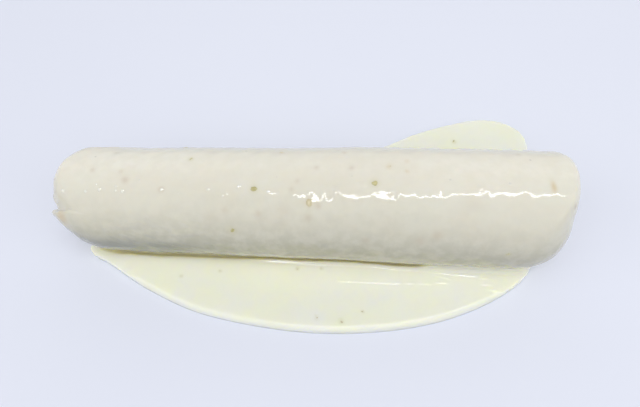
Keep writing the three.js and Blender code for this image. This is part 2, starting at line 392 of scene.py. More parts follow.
def chips_tree():
    """Sets one uneven rounded chip on each point, along its "up", sized by "size" and turned."""
    tree, given, out = new_group("GeometryNodeTree", "scattered_chips", [
        ("Geometry", "NodeSocketGeometry", None),
        ("Length", "NodeSocketFloat", 0.0024),
        ("Width", "NodeSocketFloat", 0.0018),
        ("Thickness", "NodeSocketFloat", 0.0009),
        ("Unevenness", "NodeSocketFloat", 0.0005),
        ("Seed", "NodeSocketFloat", 0.0),
        ("Material", "NodeSocketMaterial", None),
    ], [("Geometry", "NodeSocketGeometry")])
    ball = add_node(tree, "GeometryNodeMeshIcoSphere", None, {"Radius": 0.5, "Subdivisions": 3})
    form = add_node(tree, "ShaderNodeCombineXYZ", None, {
        "X": given["Length"], "Y": given["Width"], "Z": given["Thickness"]})
    chip = add_node(tree, "GeometryNodeTransform", None, {
        "Geometry": ball.outputs["Mesh"], "Scale": form.outputs[0]})
    up = add_node(tree, "GeometryNodeInputNamedAttribute", {"data_type": "FLOAT_VECTOR"}, {"Name": "up"})
    turn = add_node(tree, "GeometryNodeInputNamedAttribute", {"data_type": "FLOAT"}, {"Name": "turn"})
    size = add_node(tree, "GeometryNodeInputNamedAttribute", {"data_type": "FLOAT"}, {"Name": "size"})
    stand = add_node(tree, "FunctionNodeAlignRotationToVector", {"axis": "Z"}, {
        "Vector": up.outputs["Attribute"]})
    spin = add_node(tree, "FunctionNodeAxisAngleToRotation", None, {
        "Axis": (0, 0, 1), "Angle": turn.outputs["Attribute"]})
    turned = add_node(tree, "FunctionNodeRotateRotation", {"rotation_space": "LOCAL"}, {
        "Rotation": stand.outputs[0], "Rotate By": spin.outputs[0]})
    placed = add_node(tree, "GeometryNodeInstanceOnPoints", None, {
        "Points": given["Geometry"], "Instance": chip.outputs[0],
        "Rotation": turned.outputs[0], "Scale": size.outputs["Attribute"]})
    real = add_node(tree, "GeometryNodeRealizeInstances", None, {"Geometry": placed.outputs[0]})
    rough = add_node(tree, "ShaderNodeTexNoise", {"noise_dimensions": "4D"}, {
        "W": given["Seed"], "Scale": 700.0, "Detail": 2.0})
    centred = add_node(tree, "ShaderNodeVectorMath", {"operation": "SUBTRACT"}, {
        0: rough.outputs["Color"], 1: (0.5, 0.5, 0.5)})
    offset = add_node(tree, "ShaderNodeVectorMath", {"operation": "SCALE"}, {
        0: centred.outputs[0], "Scale": given["Unevenness"]})
    moved = add_node(tree, "GeometryNodeSetPosition", None, {
        "Geometry": real.outputs[0], "Offset": offset.outputs[0]})
    painted = add_node(tree, "GeometryNodeSetMaterial", None, {
        "Geometry": moved.outputs[0], "Material": given["Material"]})
    tree.links.new(painted.outputs[0], out["Geometry"])
    return tree


# --- Materials ----------------------------------------------------------------------------------
def colour(red, green, blue):
    """A colour given as screen values of 0 to 255, as the shader's linear one."""
    screen = np.array([red, green, blue]) / 255
    linear = np.where(screen <= 0.04045, screen / 12.92, ((screen + 0.055) / 1.055) ** 2.4)
    return (*linear.tolist(), 1.0)


def mottle_group():
    """Soft blotches of one size in Object space, as a mask of 0 to 1."""
    tree, given, out = new_group("ShaderNodeTree", "soft_blotches", [
        ("Size", "NodeSocketFloat", 0.02),
        ("Softness", "NodeSocketFloat", 0.15),
        ("Amount", "NodeSocketFloat", 1.0),
    ], [("Mask", "NodeSocketFloat")])
    place = add_node(tree, "ShaderNodeTexCoord")
    density = add_node(tree, "ShaderNodeMath", {"operation": "DIVIDE"}, {0: 1.0, 1: given["Size"]})
    noise = add_node(tree, "ShaderNodeTexNoise", None, {
        "Vector": place.outputs["Object"], "Scale": density.outputs[0], "Detail": 3.0, "Roughness": 0.55})
    low = add_node(tree, "ShaderNodeMath", {"operation": "SUBTRACT"}, {0: 0.5, 1: given["Softness"]})
    high = add_node(tree, "ShaderNodeMath", {"operation": "ADD"}, {0: 0.5, 1: given["Softness"]})
    mask = add_node(tree, "ShaderNodeMapRange", {"interpolation_type": "SMOOTHSTEP"}, {
        "Value": noise.outputs["Fac"], "From Min": low.outputs[0], "From Max": high.outputs[0],
        "To Max": given["Amount"]})
    tree.links.new(mask.outputs["Result"], out["Mask"])
    return tree


def fine_bump_group():
    """The faint unevenness of a set sauce or a baked skin, as a normal."""
    tree, given, out = new_group("ShaderNodeTree", "fine_unevenness", [
        ("Size", "NodeSocketFloat", 0.003),
        ("Height", "NodeSocketFloat", 0.00005),
    ], [("Normal", "NodeSocketVector")])
    place = add_node(tree, "ShaderNodeTexCoord")
    density = add_node(tree, "ShaderNodeMath", {"operation": "DIVIDE"}, {0: 1.0, 1: given["Size"]})
    noise = add_node(tree, "ShaderNodeTexNoise", None, {
        "Vector": place.outputs["Object"], "Scale": density.outputs[0], "Detail": 2.0})
    bump = add_node(tree, "ShaderNodeBump", None, {
        "Strength": 1.0, "Distance": given["Height"], "Height": noise.outputs["Fac"]})
    tree.links.new(bump.outputs["Normal"], out["Normal"])
    return tree


BLOTCHES = mottle_group()
UNEVEN = fine_bump_group()


def use_group(tree, group, values):
    return add_node(tree, "ShaderNodeGroup", {"node_tree": group}, values).outputs[0]


def attribute_of(tree, name, amount=1.0):
    """A mask that the mesh carries, times an amount."""
    carried = add_node(tree, "ShaderNodeAttribute", {"attribute_name": name})
    return add_node(tree, "ShaderNodeMath", {"operation": "MULTIPLY"}, {
        0: carried.outputs["Fac"], 1: amount}).outputs[0]


def mix_colour(tree, factor, under, over):
    mixed = add_node(tree, "ShaderNodeMix", {"data_type": "RGBA"}, {"Factor": factor})
    for socket, value in ((mixed.inputs[6], under), (mixed.inputs[7], over)):
        if isinstance(value, bpy.types.NodeSocket):
            tree.links.new(value, socket)
        else:
            socket.default_value = value
    return mixed.outputs[2]


def new_material(name, shader_values):
    material = bpy.data.materials.new(name)
    material.use_nodes = True
    tree = material.node_tree
    shader = tree.nodes["Principled BSDF"]
    for label, value in shader_values.items():
        shader.inputs[label].default_value = value
    return material, tree, shader


def coat_material():
    material, tree, shader = new_material("glossy_cheese_sauce", {
        "Roughness": 0.06, "IOR": 1.45, "Subsurface Weight": 0.3,
        "Subsurface Radius": (1.0, 0.8, 0.45), "Subsurface Scale": 0.0012})
    tone = mix_colour(tree, use_group(tree, BLOTCHES, {"Size": 0.022, "Softness": 0.16}),
                      colour(234, 232, 222), colour(233, 229, 218))
    # painted shade: greyer low on the front and behind, partly sauce that runs thinner there
    tone = mix_colour(tree, attribute_of(tree, "thin_sauce_and_shade"), tone, colour(178, 176, 157))
    grey = use_group(tree, BLOTCHES, {"Size": 0.005, "Softness": 0.2, "Amount": 0.35})
    tone = mix_colour(tree, grey, tone, colour(221, 218, 205))
    # the crease tint is painted shade low over the pool, partly yellower sauce gathering there
    for name, tint in (("green", colour(198, 193, 150)), ("tan", colour(210, 192, 156)),
                       ("sunken", colour(196, 182, 164)), ("crease", colour(198, 184, 106)),
                       ("shaded", colour(139, 141, 133))):
        tone = mix_colour(tree, attribute_of(tree, name), tone, tint)
    tree.links.new(tone, shader.inputs["Base Color"])
    normal = use_group(tree, UNEVEN, {"Size": 0.004, "Height": 0.00005})
    tree.links.new(normal, shader.inputs["Normal"])
    return material


def pool_material():
    material, tree, shader = new_material("pooled_cheese_sauce", {
        "Roughness": 0.08, "IOR": 1.45, "Subsurface Weight": 0.9,
        "Subsurface Radius": (1.0, 0.9, 0.4), "Subsurface Scale": 0.006})
    tone = mix_colour(tree, use_group(tree, BLOTCHES, {"Size": 0.03, "Softness": 0.2}),
                      colour(244, 245, 221), colour(243, 243, 229))
    # painted light on the pool near the roll, against the shade under the belly
    tone = mix_colour(tree, attribute_of(tree, "near"), tone, colour(255, 254, 228))
    tone = mix_colour(tree, attribute_of(tree, "green"), tone, colour(196, 192, 150))
    # painted shade in the crevice behind the pool's rim and on the face that leans on the roll
    tone = mix_colour(tree, attribute_of(tree, "crease"), tone, colour(222, 217, 182))
    tree.links.new(tone, shader.inputs["Base Color"])
    normal = use_group(tree, UNEVEN, {"Size": 0.006, "Height": 0.00003})
    tree.links.new(normal, shader.inputs["Normal"])
    return material


def tortilla_material():
    material, tree, shader = new_material("toasted_tortilla", {
        "Roughness": 0.75, "Subsurface Weight": 0.15,
        "Subsurface Radius": (1.0, 0.7, 0.4), "Subsurface Scale": 0.001})
    tone = mix_colour(tree, use_group(tree, BLOTCHES, {"Size": 0.02, "Softness": 0.1}),
                      colour(232, 218, 188), colour(221, 199, 158))
    toast = use_group(tree, BLOTCHES, {"Size": 0.011, "Softness": 0.05, "Amount": 0.7})
    tone = mix_colour(tree, toast, tone, colour(178, 128, 76))
    tree.links.new(tone, shader.inputs["Base Color"])
    normal = use_group(tree, UNEVEN, {"Size": 0.0016, "Height": 0.00018})
    tree.links.new(normal, shader.inputs["Normal"])
    return material


def bubble_material():
    """A wet bubble under a fine film of sauce: the film and the bubble's wall both mirror."""
    material, tree, shader = new_material("bubbled_cheese_sauce", {
        "Roughness": 0.04, "IOR": 1.8, "Coat Weight": 1.0, "Coat Roughness": 0.04,
        "Subsurface Weight": 0.3, "Subsurface Radius": (1.0, 0.8, 0.45), "Subsurface Scale": 0.0012})
    tone = mix_colour(tree, use_group(tree, BLOTCHES, {"Size": 0.004, "Softness": 0.2}),
                      colour(231, 228, 216), colour(227, 224, 212))
    tree.links.new(tone, shader.inputs["Base Color"])
    normal = use_group(tree, UNEVEN, {"Size": 0.003, "Height": 0.000005})
    tree.links.new(normal, shader.inputs["Normal"])
    return material


def chip_material(name, light, dark):
    material, tree, shader = new_material(name, {
        "Roughness": 0.3, "Subsurface Weight": 0.3,
        "Subsurface Radius": (1.0, 0.8, 0.5), "Subsurface Scale": 0.0006})
    tone = mix_colour(tree, use_group(tree, BLOTCHES, {"Size": 0.0012, "Softness": 0.2}), light, dark)
    tree.links.new(tone, shader.inputs["Base Color"])
    normal = use_group(tree, UNEVEN, {"Size": 0.0005, "Height": 0.00004})
    tree.links.new(normal, shader.inputs["Normal"])
    return material


# --- The tortilla -------------------------------------------------------------------------------
def make_tortilla():
    points, faces = roll_skin(0, STEP, straight=60, rounded=16, closing=8, around=96)
    points = draw_out_tip(points)
    points[:, 2] = np.maximum(points[:, 2], 0)
    return make_object("tortilla", points, faces, tortilla_material())


# --- The coat of sauce --------------------------------------------------------------------------
# Where the sauce stands up: place along in mm, angle, height, how far along and round
COAT_BUMPS = [
    (3.1, 123, 0.2, 1.7, 1.7), (27.4, 103.5, 0.26, 1.3, 1.3), (39.4, 110.5, 0.2, 1.2, 1.2),
    (79, 105, 0.26, 1.3, 1.2), (-22.7, 111, 0.12, 1.8, 1.8), (-55.8, 75, 0.12, 1.6, 1.6),
    (-16.5, 113, 0.12, 1.8, 1.0), (86, 101, 0.2, 1.2, 1.2),
    (2.8, 114, 0.2, 1.0, 2.5), (8.9, 115, 0.16, 0.7, 4.0), (15.0, 113, 0.25, 1.0, 3.0),
    (43.2, 113, 0.2, 0.6, 2.5), (57.6, 113.5, 0.1, 0.8, 2.0), (-4.4, 115, 0.2, 0.8, 2.0),
    (-123, 127, 1.0, 4.0, 2.6),
]
# The bends of the sauce's uneven shoulder, which catches the light: place along in mm, angle
# round, and how flat it is (0 as round as the roll, 1 flat)
SHOULDER = [
    (-3, 115.5, 0), (0, 116, 0.1), (5.5, 114, 0.9), (7.5, 117, 0.9), (10, 117.5, 0.7),
    (12, 117.5, 0.7), (14, 113, 0), (17, 113, 0.3), (20, 116, 0.4), (24.5, 117, 0.5),
    (27, 114.5, 0.6), (31, 114, 0.1), (32.5, 113, 0.7), (35, 115.5, 0.6), (38, 117, 0.5),
    (40.5, 117.5, 0.6), (42, 116.5, 0.3), (43.5, 112, 0), (48, 113.5, 0), (51, 113, 0.7),
    (54, 114, 0), (57, 113, 0.5), (63, 113, 0.7), (66, 110, 0), (75, 110.5, 0), (77, 111, 0.4),
    (81, 109, 0.1), (82.5, 110.5, 0.8), (86, 108, 0.4), (94, 109.5, 0.3), (98.5, 105.5, 0),
    (101, 109, 0.7), (103, 109.5, 0.6), (105, 108.5, 0.4), (108.5, 108.5, 0.4), (112, 109, 0.2),
]
SHOULDER_FACES = (115.9, 0.065)  # the angle its face looks at, and how much that falls for each mm
FACES_FROM = -16  # from this place along
SHOULDER_WIDTH = 3.6
SHOULDER_RADIUS = 27.5  # of the coat's face there
SHOULDER_ENDS = 2.0  # its relief fades over this length past both ends
NEAR_SHOULDER = 0.15  # the skin's own way of looking is read this near its line, in widths of it
COAT_SHARE_KEPT = 0.62  # of the coat's faces, once its inner wall has been made coarser
CALM_WIDTH = 1.4  # the sauce ripples less this many widths round the shoulder
CALM_FROM = (-12, 0)
CALM_BY = 0.8
COAT_SWELLS = [(0.1, 30, 2), (0.05, 9, 3)]  # share of the coat's depth, size in mm, seed
LEAST_DEPTH = 0.02
END_RISE = 0.5  # how much higher the coat ends under both ends, and how deep its drips are there
DRIPS_FROM = 0.84
DRIP_SIZE = 17
DRIP_DEPTH = 2.6
# How grey the sauce is, by angle round the front and round the back: painted shade, darker low on the
# front and towards the back, partly sauce that runs thinner there
SHADE_AND_THIN_FRONT = [(90, 0), (99, 0.08), (118, 0.34), (141, 0.43), (147, 0.49), (165, 0.79), (180, 0.97),
           (195, 0.97), (235, 0.6), (270, 0.5)]
SHADE_AND_THIN_BEHIND = [(-90, 0.5), (0, 0.5), (40, 0.24), (80, 0), (90, 0)]
THINNER_END = 0.35  # on the middle of both ends' faces
END_MIDDLE = (8, 22)  # that middle gives way to the sides at this distance from the roll's middle
THINNER_HALFWAY = 0.07  # and so much thinner halfway along the roll
HALFWAY = (85, 30)
# How much darker the sauce is low at the left of the front, by angle round
SHADED = [(163, 0), (169, 0.14), (175, 0.42), (181, 0.66), (187, 0.75), (200, 0.75), (225, 0)]
SHADED_FROM = (-20, -75)
SHADED_TO = (-124, -112)
# Painted shade, dark and yellow, low on the sauce towards the crease over the pool, where yellower sauce
# also gathers; less so behind and at the right
CREASE_SHADE_BELOW = (14, 6)
CREASE_SHADE_ENDS = (120, 104)
CREASE_SHADE_RIGHT = (50, 70)
CREASE_SHADE_LESS = 0.6
# Wrinkles low on the front of the coat's left part: places along and angles where they rise
WRINKLE_HEIGHT = 0.26
WRINKLE_SIZES = (5, 3.2)
WRINKLES_FROM = (-104, -92)
WRINKLES_TO = (-30, -60)
WRINKLES_OVER = (138, 158)
WRINKLES_UNDER = (205, 186)


def hem_height(points):
    """How high the coat ends: level with the pool, and higher and uneven under both ends."""
    outward = np.abs(points[:, 0]) / (ROLL_LENGTH / 2)
    drips = np.clip(0.5 + 0.5 * waves(points * (1, 1, 0), DRIP_SIZE, seed=5), 0, 1.4)
    return HEM + (END_RISE + DRIP_DEPTH * drips) * ease(outward, DRIPS_FROM, 1)


def covered_skin():
    """The skin under the sauce, cut along the hem: points, outward normals and faces."""
    points, faces = roll_skin(GAP, COVERED_STEP, straight=132, rounded=32, closing=14, around=186)
    points = draw_out_tip(points)
    shell = bmesh.new()
    lifted = points - np.outer(hem_height(points), (0, 0, 1))
    made = [shell.verts.new(p) for p in lifted]
    for face in faces:
        shell.faces.new([made[i] for i in face])
    shell.normal_update()
    everything = shell.verts[:] + shell.edges[:] + shell.faces[:]
    bmesh.ops.bisect_plane(shell, geom=everything, dist=1e-4, plane_co=(0, 0, 0),
                           plane_no=(0, 0, 1), clear_inner=True)
    shell.verts.index_update()
    points = np.array([v.co for v in shell.verts])
    rim = np.array([v.is_boundary for v in shell.verts])
    normals = np.array([v.normal for v in shell.verts])
    faces = [[v.index for v in face.verts] for face in shell.faces]
    shell.free()
    points[:, 2] += hem_height(points)
    return points, normals, faces, rim


def bump_heights(points):
    """The small domes of the coat, in mm."""
    heights = np.zeros(len(points))
    for along, angle, height, wide, tall in COAT_BUMPS:
        turn = math.radians(angle)
        out = points[:, 1] * math.cos(turn) + (points[:, 2] - BELLY_HEIGHT) * math.sin(turn)
        round_off = -points[:, 1] * math.sin(turn) + (points[:, 2] - BELLY_HEIGHT) * math.cos(turn)
        near = ((points[:, 0] - along) / wide) ** 2 + (round_off / tall) ** 2
        heights += np.where(out > 0, height * np.exp(-near), 0)
    return heights


def around_roll(points):
    """The angle of each point round the roll's middle, in degrees."""
    return np.degrees(np.arctan2(points[:, 2] - BELLY_HEIGHT, points[:, 1])) % TURN


def off_shoulder(points):
    """How far each point lies round the roll from the line of the shoulder, in widths of it."""
    along, angle = np.array(SHOULDER).T[:2]
    turn = np.radians(around_roll(points) - np.interp(points[:, 0], along, angle))
    return turn * SHOULDER_RADIUS / SHOULDER_WIDTH


def shoulder_faces(along):
    """The angle that the shoulder's face looks at."""
    first, fall = SHOULDER_FACES
    return first - fall * np.maximum(0, along - FACES_FROM)


def shoulder_heights(points, normals):
    """Leans the skin's face at the shoulder the way it has to look, and flattens it in places."""
    along, _, flat = np.array(SHOULDER).T
    off = off_shoulder(points)
    near = np.nonzero(np.abs(off) < NEAR_SHOULDER)[0]
    near = near[np.argsort(points[near, 0])]
    looks = np.degrees(np.arctan2(normals[near, 2], normals[near, 1]) - off[near] * SHOULDER_WIDTH
                       / SHOULDER_RADIUS)
    lean = np.radians(shoulder_faces(points[:, 0]) - np.interp(points[:, 0], points[near, 0], looks))
    run = ease(points[:, 0], along[0] - SHOULDER_ENDS, along[0])
    run = run * ease(points[:, 0], along[-1] + SHOULDER_ENDS, along[-1])
    flat = np.interp(points[:, 0], along, flat)
    relief = -lean * off * SHOULDER_WIDTH - flat * SHOULDER_WIDTH**2 / (2 * SHOULDER_RADIUS)
    return relief * run * np.exp(-(off**2))


def wrinkle_heights(points):
    angle = around_roll(points)
    strip = ease(angle, *WRINKLES_OVER) * ease(angle, *WRINKLES_UNDER)
    run = ease(points[:, 0], *WRINKLES_FROM) * ease(points[:, 0], *WRINKLES_TO)
    long_ones = waves(points * (0.3, 1, 1), WRINKLE_SIZES[0], seed=21)
    short_ones = 0.6 * waves(points * (0.5, 1, 1), WRINKLE_SIZES[1], seed=22)
    return WRINKLE_HEIGHT * strip * run * (long_ones + short_ones)


def thin_out(target, hidden):
    """Merges faces around the given points, which lie out of sight, into fewer."""
    weights = target.vertex_groups.new(name="hidden")
    weights.add(hidden, 1.0, "REPLACE")
    fewer = target.modifiers.new("fewer_hidden_faces", "DECIMATE")
    fewer.vertex_group = weights.name
    fewer.ratio = COAT_SHARE_KEPT
    keep_result(target)
    target.vertex_groups.clear()


def drop_loose_points(mesh):
    shell = bmesh.new()
    shell.from_mesh(mesh)
    bmesh.ops.delete(shell, geom=[v for v in shell.verts if not v.link_faces], context="VERTS")
    shell.to_mesh(mesh)
    shell.free()


def tint_coat(mesh):
    """Marks the painted shade by angle round the roll where the sauce also runs thinner, the painted shade
    where it gathers over the pool, and where it lies in shade.
    """
    points = points_of(mesh)
    along, height = points[:, 0], points[:, 2]
    angle = (around_roll(points) + 90) % TURN - 90
    on_side = ease(np.hypot(points[:, 1], height - BELLY_HEIGHT), *END_MIDDLE)
    thin_sauce_and_shade = THINNER_HALFWAY * ease(np.abs(along), *HALFWAY)
    # painted shade by angle round the roll, partly thinner sauce
    thin_sauce_and_shade = thin_sauce_and_shade + np.interp(angle, *zip(*SHADE_AND_THIN_BEHIND, *SHADE_AND_THIN_FRONT[1:]))
    set_values(mesh, "thin_sauce_and_shade", THINNER_END + (thin_sauce_and_shade - THINNER_END) * on_side)
    # painted shade low on the sauce over the pool
    crease_shade = ease(height, *CREASE_SHADE_BELOW) * ease(np.abs(along), *CREASE_SHADE_ENDS)
    crease_shade = crease_shade * (1 - CREASE_SHADE_LESS * ease(along, *CREASE_SHADE_RIGHT))
    crease_shade = crease_shade * (1 - CREASE_SHADE_LESS * (points[:, 1] > 0))
    set_values(mesh, "crease", crease_shade)
    left = ease(along, *SHADED_FROM) * ease(along, *SHADED_TO) * on_side
    set_values(mesh, "shaded", left * np.interp(angle, *zip(*SHADED)))


def make_coat():
    """A shell of sauce: its inner wall just off the tortilla, its outer face free to ripple."""
    inner, normals, faces, rim = covered_skin()
    over_hem = np.clip((inner[:, 2] - hem_height(inner)) / HEM_LIP, 0, 1)
    rounded = np.sqrt(1 - (1 - over_hem) ** 2)
    calm = np.exp(-((off_shoulder(inner) / CALM_WIDTH) ** 2)) * ease(inner[:, 0], *CALM_FROM)
    swells = sum(share * waves(inner, size, seed) for share, size, seed in COAT_SWELLS)
    depth = COAT * rounded * (1 + swells * (1 - calm))
    depth = depth + bump_heights(inner) + wrinkle_heights(inner) + shoulder_heights(inner, normals)
    depth = np.where(rim, 0, np.maximum(depth, LEAST_DEPTH))
    outer = inner + normals * depth[:, None]
    count = len(inner)
    inner_of = np.where(rim, np.arange(count), count + np.arange(count))
    inside = [[int(inner_of[i]) for i in reversed(face)] for face in faces]
    coat = make_object("cheese_sauce_coat", np.concatenate([outer, inner]), faces + inside,
                       coat_material())
    free = rounded * ~rim * (1 - CALM_BY * calm)
    set_values(coat.data, "free", np.concatenate([free, np.zeros(count)]))
    drop_loose_points(coat.data)
    thin_out(coat, [i for i, v in enumerate(coat.data.attributes["free"].data) if v.value == 0])
    apply_tree(coat, RIPPLES, {
        "Swell Height": 0.0006, "Swell Size": 0.022, "Ripple Height": 0.0004, "Ripple Size": 0.0055,
        "Seed": 3.0, "Material": coat.data.materials[0]})
    tint_coat(coat.data)
    return coat


# --- The pool of sauce --------------------------------------------------------------------------
SPINE = 96  # the pool is drawn round a line along the roll, this far to each side of its middle
POOL_SIDE = 200  # columns along each side
POOL_END = 64  # columns round each end
CREVICE_ROWS = 16
BANK_ROWS = 44
FLAT_ROWS = 16
EDGE_ROWS = 14
UNDER_ROWS = 3
BANK_WIDTH = 11
POOL_EDGE = 3.4  # width of its rounded edge
POOL_CLEAR = 0.25  # the pool stays this far under the coat
CREST_ROUND = 0.5
# painted shade on the face of the sauce that leans on the roll
LEAN_PAINTED_SHADE = 0.35
# painted light near the roll, which lifts the shade under the belly
PAINTED_LIGHT_REACH = 5  # the pool is lighter this near to the roll
# Where one run of sauce ends on another: from (x, y), to (x, y), slope at each, width
POOL_STEPS = [
    ((1, -25.2), (30, -25.3), 0.070, 0.050, 0.8),
    ((62, -26.9), (86, -28.3), 0.165, 0.140, 0.9),
    ((66, -28.4), (73, -30.4), 0.185, 0.190, 0.8),
    ((18, -33.7), (44, -33.75), 0.290, 0.270, 0.6),
    ((45, -33.7), (47.5, -33.6), 0.268, 0.266, 0.7),
    ((51, -33.4), (54.5, -33.4), 0.263, 0.260, 0.7),
    ((58.5, -33.4), (63, -33.4), 0.262, 0.258, 0.7),
    ((67, -32.4), (71, -32.4), 0.225, 0.218, 0.8),
    ((88.5, -29.3), (91.5, -29.2), 0.165, 0.162, 0.9),
    ((89.5, -32.5), (92.5, -32.4), 0.185, 0.183, 0.9),
    ((93, -35.3), (96, -35.2), 0.195, 0.193, 0.9),
]


def closed_curve(corners, steps):
    """A smooth closed curve through the corners (Catmull-Rom), with so many steps between two."""
    corners = np.array(corners, float)
    t = (np.arange(steps) / steps)[:, None]
    runs = []
    for i in range(len(corners)):
        a, b, c, d = (corners[(i + k) % len(corners)] for k in (-1, 0, 1, 2))
        runs.append(0.5 * (2 * b + (c - a) * t + (2 * a - 5 * b + 4 * c - d) * t**2
                           + (3 * b - a - 3 * c + d) * t**3))
    return np.concatenate(runs)


def pool_columns():
    """Starting points on the spine and level directions, once round it."""
    front = [((x, 0), (0, -1)) for x in np.linspace(-SPINE, SPINE, POOL_SIDE, endpoint=False)]
    back = [((x, 0), (0, 1)) for x in np.linspace(SPINE, -SPINE, POOL_SIDE, endpoint=False)]
    fan = np.radians(np.linspace(-90, 90, POOL_END, endpoint=False))
    right = [((SPINE, 0), (math.cos(a), math.sin(a))) for a in fan]
    left = [((-SPINE, 0), (-math.cos(a), -math.sin(a))) for a in fan]
    starts, ways = zip(*(front + right + back + left))
    return np.array(starts, float), np.array(ways, float)


def reach_of_outline(starts, ways, outline):
    """How far each column runs until it meets the outline."""
    ends = np.roll(outline, -1, axis=0)
    side = ends - outline
    reaches = []
    for start, way in zip(starts, ways):
        to = outline - start
        cross = way[0] * side[:, 1] - way[1] * side[:, 0]
        cross = np.where(np.abs(cross) < 1e-9, 1e-9, cross)
        far = (to[:, 0] * side[:, 1] - to[:, 1] * side[:, 0]) / cross
        share = (to[:, 0] * way[1] - to[:, 1] * way[0]) / cross
        reaches.append(far[(share >= 0) & (share <= 1) & (far > 0)].max())
    return np.array(reaches)


def tree_of(made):
    return BVHTree.FromObject(made, bpy.context.evaluated_depsgraph_get())


def ceiling_over(trees, x, y):
    """Height in mm of whatever lies over a place of the floor, or a large number."""
    heights = [500.0]
    for tree in trees:
        hit = tree.ray_cast(Vector((x * MM, y * MM, -0.002)), Vector((0, 0, 1)), 0.1)[0]
        if hit is not None:
            heights.append(hit.z / MM)
    return min(heights)


def row_reaches(starts, ways, outer, trees):
    """For each column: where the floor comes free of the roll, and where the bank's crest is."""
    foot, crest = [], []
    for start, way, far in zip(starts, ways, outer):
        tries = np.arange(0, far, 0.4)
        over = np.array([ceiling_over(trees, *(start + way * r)) for r in tries])
        free = np.nonzero(over > 0.6)[0]
        first = free[0] if len(free) else len(tries) - 1
        high = np.nonzero(over[first:] > RIM_CEILING)[0]
        foot.append(tries[first])
        crest.append(tries[first + high[0]] if len(high) else far)
    return np.array(foot), np.array(crest)


def even_out(values, times):
    for _ in range(times):
        values = (np.roll(values, 1) + 2 * values + np.roll(values, -1)) / 4
    return values


def step_heights(points):
    """Low steps down towards the front, each fading away behind it and at both ends."""
    heights = np.zeros(len(points))
    for start, stop, slope_there, slope_here, width in POOL_STEPS:
        start, run = np.array(start, float), np.subtract(stop, start).astype(float)
        length = np.linalg.norm(run)
        off = points - start
        share = off @ run / length**2
        inside = np.clip(share, 0, 1)
        ahead = (off[:, 0] * run[1] - off[:, 1] * run[0]) / length
        slope = slope_there + (slope_here - slope_there) * inside
        fade = ease(share * length, -2, 1) * ease((share - 1) * length, 2, -1)
        down = slope * np.clip(width / 2 - ahead, 0, width)
        behind = np.exp(-np.maximum(-ahead - width / 2, 0) / 5)
        heights += fade * down * behind
    return heights


def pool_rows(starts, ways, lower, trees):
    """How far out each row of the pool's face lies in each column, and its crest and edge."""
    outer = reach_of_outline(starts, ways, closed_curve(POOL_OUTLINE, 12))
    foot, crest = row_reaches(starts, ways, outer, trees)
    foot = even_out(foot, 4)
    crest = even_out(np.minimum(crest, outer - 2), 6)
    crest = np.maximum(crest + FURTHER_OFF * lower, foot + 1)
    bank_end = np.minimum(crest + BANK_WIDTH, outer - 1.2)
    edge = np.maximum(outer - POOL_EDGE, bank_end + 0.4)
    runs = [(foot, crest, CREVICE_ROWS), (crest, bank_end, BANK_ROWS),
            (bank_end, edge, FLAT_ROWS), (edge, outer, EDGE_ROWS)]
    reach = [a[:, None] + np.outer(b - a, np.linspace(0, 1, rows, endpoint=False))
             for a, b, rows in runs]
    return np.concatenate(reach + [outer[:, None]], 1), crest[:, None], edge[:, None]


def bank_heights(past_crest, lower, leans, room):
    """How high the sauce stands towards the roll: its swell, its rim and crease, or its leaning."""
    out = np.maximum(past_crest, 0)
    climb = POOL_CLIMB * (1 - 0.6 * lower)
    swell = POOL_SWELL * np.exp(-out / SWELL_REACH) + climb * np.exp(-out / CLIMB_REACH)
    rim = RIM_HEIGHT * (1 - lower) * np.exp(-((past_crest / RIM_WIDTH) ** 2))
    width = CREASE_WIDTH * (1 + 0.4 * lower)
    crease = CREASE_DEPTH * np.exp(-((past_crest / width + 1.3) ** 2))
    foot_width, foot_slope = LEANING_FOOT
    foot_run = LEANING[-1][0] + foot_width
    leaning = np.interp(past_crest, *zip(*LEANING))
    leaning = leaning + foot_slope * np.clip(foot_run - past_crest, 0, foot_width)
    return (swell + (rim - crease) * (1 - leans)) * room + leaning * leans


def held_under(surface, limit):
    """The surface, kept under a limit with a rounded crest where the two meet."""
    gap = np.clip(0.5 + 0.5 * (limit - surface) / CREST_ROUND, 0, 1)
    return limit * (1 - gap) + surface * gap - CREST_ROUND * gap * (1 - gap)


def pool_faces(columns, rows):
    """Faces over the pool's face and its flat underside."""
    ring = np.arange(columns)
    after = np.roll(ring, -1)

    def top_id(column, row):
        return column * rows + row

    def under_id(column, row):
        return columns * rows + column * UNDER_ROWS + row

    strips = [(top_id(ring, r), top_id(ring, r + 1), top_id(after, r + 1), top_id(after, r))
              for r in range(rows - 1)]
    here, there = ([under_id(side, k) for k in range(UNDER_ROWS)] + [top_id(side, rows - 1)]
                   for side in (ring, after))
    for k in range(UNDER_ROWS):
        strips.append((here[k], there[k], there[k + 1], here[k + 1]))
    strips.append((under_id(ring, 0), top_id(ring, 0), top_id(after, 0), under_id(after, 0)))
    return np.concatenate([np.stack(strip, -1) for strip in strips]).tolist()


